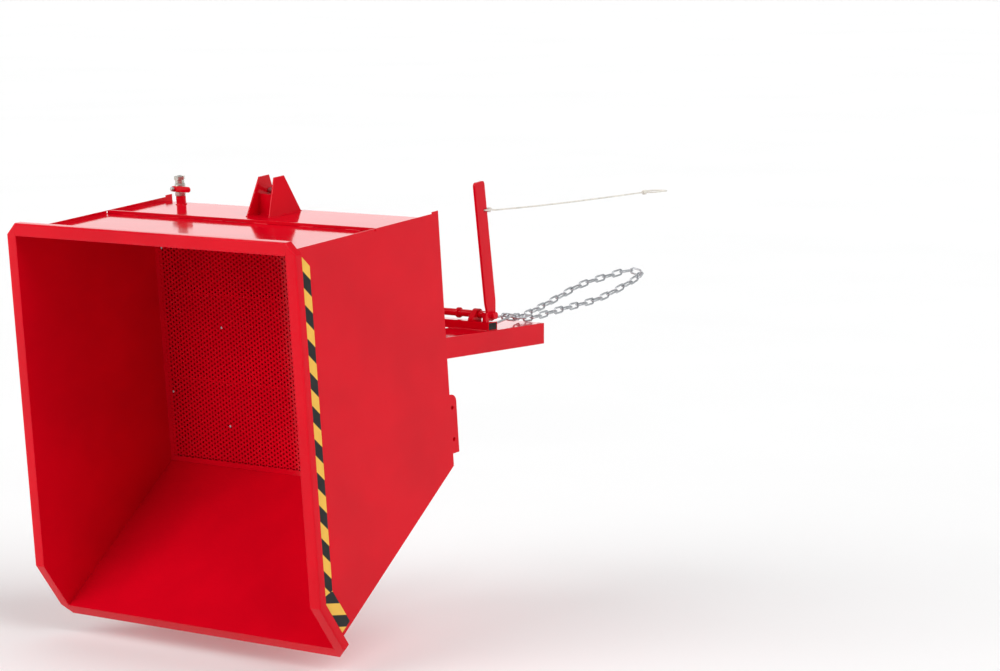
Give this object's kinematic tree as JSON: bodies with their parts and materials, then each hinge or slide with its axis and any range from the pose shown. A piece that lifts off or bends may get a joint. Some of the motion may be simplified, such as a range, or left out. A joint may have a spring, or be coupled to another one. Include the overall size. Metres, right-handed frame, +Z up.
{
  "type": "self dumping hopper",
  "caption": "Fork-mounted self dumping hopper with a hinged shell, a latch worked by hand lever and pull rope, a sieve with a drain valve, and a safety chain.",
  "frame": {"origin": "midway between the fork pockets at their rear ends, at the height of the forks' top faces", "axes": "+X towards the mouth and the tipping side, +Y to the driver's left, +Z up"},
  "size_m": [2.5124, 1.28, 1.519],
  "materials": {
    "red_paint": "gloss powder coat",
    "zinc_steel": "bright zinc plate",
    "nickel_plate": "nickel-plated brass",
    "rubber": "matt",
    "hazard_tape": "satin film with plain black stripes",
    "rope": "twisted synthetic rope"
  },
  "bodies": {
    "frame": {"fork_pocket_left": "red_paint", "fork_pocket_right": "red_paint", "rear_tube": "red_paint", "front_beam": "red_paint", "rest_beam": "red_paint", "rest_pad_left": "rubber", "rest_pad_right": "rubber", "hinge_clevis_left": "red_paint", "hinge_clevis_right": "red_paint", "hinge_pin_left": "zinc_steel", "hinge_pin_right": "zinc_steel", "hinge_washer_left": "zinc_steel", "hinge_washer_right": "zinc_steel", "shaft_bearing_left": "red_paint", "shaft_bearing_right": "red_paint", "lever_stop": "red_paint", "chain_eye": "red_paint", "spring_hook": "zinc_steel", "safety_chain": "zinc_steel"},
    "hopper": {"side_panel_left": "red_paint", "side_panel_right": "red_paint", "rear_wall": "red_paint", "floor_panel": "red_paint", "front_slope": "red_paint", "rim_left": "red_paint", "rim_right": "red_paint", "rim_rear": "red_paint", "rim_lip": "red_paint", "rear_stiffener": "red_paint", "catch_plate_left": "red_paint", "catch_plate_right": "red_paint", "catch_pin": "zinc_steel", "catch_web": "red_paint", "sieve_sheet": "red_paint", "sieve_ledge_left": "red_paint", "sieve_ledge_right": "red_paint", "sieve_bearer_1": "red_paint", "sieve_bearer_2": "red_paint", "foot_left": "red_paint", "foot_right": "red_paint", "hinge_lug_left": "red_paint", "hinge_lug_right": "red_paint", "hazard_tape_left": "hazard_tape", "hazard_tape_right": "hazard_tape", "drain_socket": "red_paint", "valve_body": "nickel_plate"},
    "valve_handle": {"valve_ball": "zinc_steel", "valve_stem": "nickel_plate", "valve_handle": "red_paint", "valve_nut": "zinc_steel"},
    "latch": {"latch_shaft": "red_paint", "shaft_collar_left": "red_paint", "shaft_collar_right": "red_paint", "latch_hook": "red_paint", "latch_spring": "zinc_steel", "hand_lever": "red_paint", "rope_knot": "rope", "pull_rope": "rope", "rope_hand_loop": "rope"},
    "hook_gate": {"spring_hook_gate": "zinc_steel"}
  },
  "joints": [
    {"name": "hopper_tip", "type": "hinge", "parent": "frame", "child": "hopper", "pos_m": [0.892, 0, 0.022], "axis": [0, -1, 0], "range_deg": [0, 95.5]},
    {"name": "latch_lever", "type": "hinge", "parent": "frame", "child": "latch", "pos_m": [0.288, 0, 0.0573], "axis": [0, -1, 0], "range_deg": [0, 22], "stiffness_Nm_per_rad": 4, "springref_deg": -34.38},
    {"name": "drain_valve_turn", "type": "hinge", "parent": "hopper", "child": "valve_handle", "pos_m": [1.05349, -0.476, 0.52012], "axis": [0.9954, 0, -0.0958], "range_deg": [0, 90]},
    {"name": "hook_gate_swing", "type": "hinge", "parent": "frame", "child": "hook_gate", "pos_m": [0.22808, 0.238, 0.02582], "axis": [-0.1736, 0, -0.9848], "range_deg": [0, 25], "stiffness_Nm_per_rad": 0.2, "springref_deg": -22.92}
  ]
}
